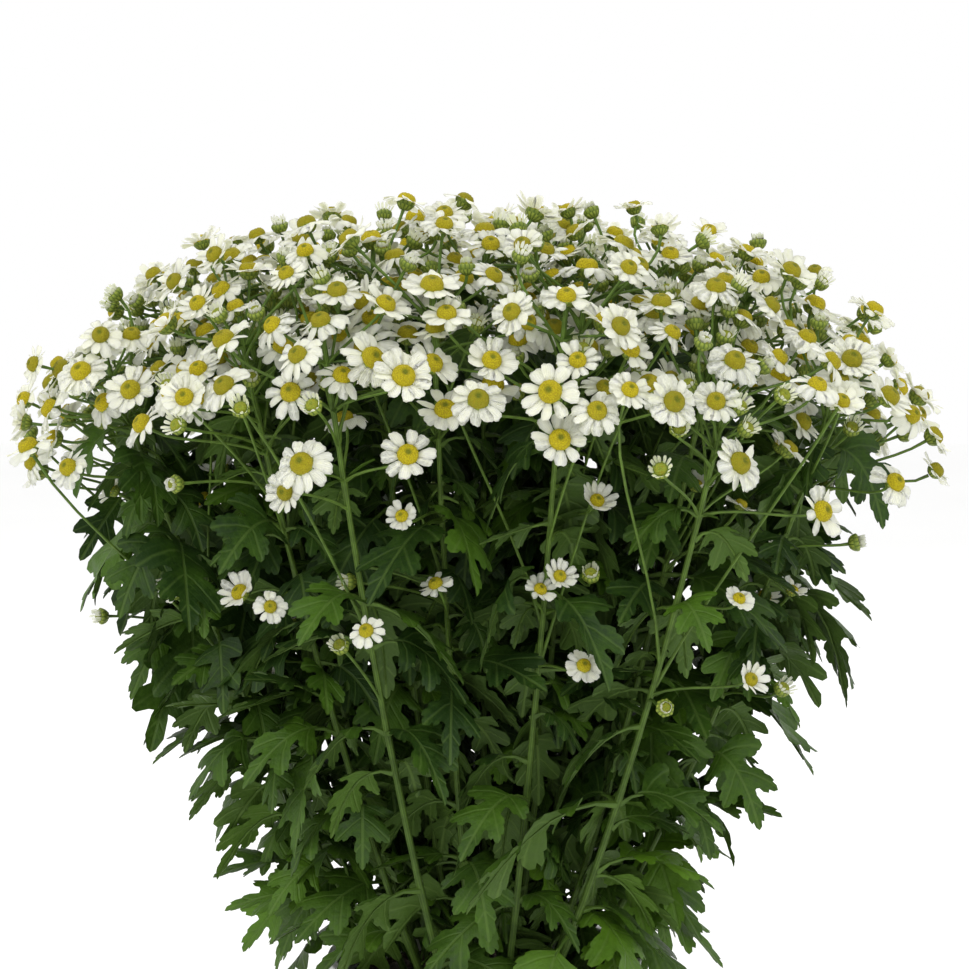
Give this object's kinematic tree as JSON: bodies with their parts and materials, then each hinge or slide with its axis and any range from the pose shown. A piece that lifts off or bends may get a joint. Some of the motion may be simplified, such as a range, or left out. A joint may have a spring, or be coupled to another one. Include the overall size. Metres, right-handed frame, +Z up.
{
  "type": "chamomile plant in a pot",
  "caption": "Potted chamomile: leafy stems fan out of a plain tapered pot, with lobed leaves below a wide dome of small daisies.",
  "frame": {"origin": "centre of the pot's flat underside, on the surface that it stands on", "axes": "+Z up along the pot's axis, +X to the viewer's right along the plant's wider way, +Y away from the viewer"},
  "size_m": [0.4583, 0.3401, 0.5292],
  "materials": {
    "pot": "satin",
    "soil": "matte",
    "foliage": "satin",
    "petals": "matte",
    "discs": "matte"
  },
  "bodies": {
    "root": {"pot": "pot", "soil": "soil", "leafy_stem_01": "foliage", "leafy_stem_02": "foliage", "leafy_stem_03": "foliage", "leafy_stem_04": "foliage", "leafy_stem_05": "foliage", "leafy_stem_06": "foliage", "leafy_stem_07": "foliage", "leafy_stem_08": "foliage", "leafy_stem_09": "foliage", "leafy_stem_10": "foliage", "leafy_stem_11": "foliage", "leafy_stem_12": "foliage", "leafy_stem_13": "foliage", "leafy_stem_14": "foliage", "leafy_stem_15": "foliage", "leafy_stem_16": "foliage", "leafy_stem_17": "foliage", "leafy_stem_18": "foliage", "leafy_stem_19": "foliage", "leafy_stem_20": "foliage", "leafy_stem_21": "foliage", "leafy_stem_22": "foliage", "leafy_stem_23": "foliage", "leafy_stem_24": "foliage", "leafy_stem_25": "foliage", "leafy_stem_26": "foliage", "leafy_stem_27": "foliage", "leafy_stem_28": "foliage", "leafy_stem_29": "foliage", "leafy_stem_30": "foliage", "leafy_stem_31": "foliage", "leafy_stem_32": "foliage"}
  },
  "joints": []
}
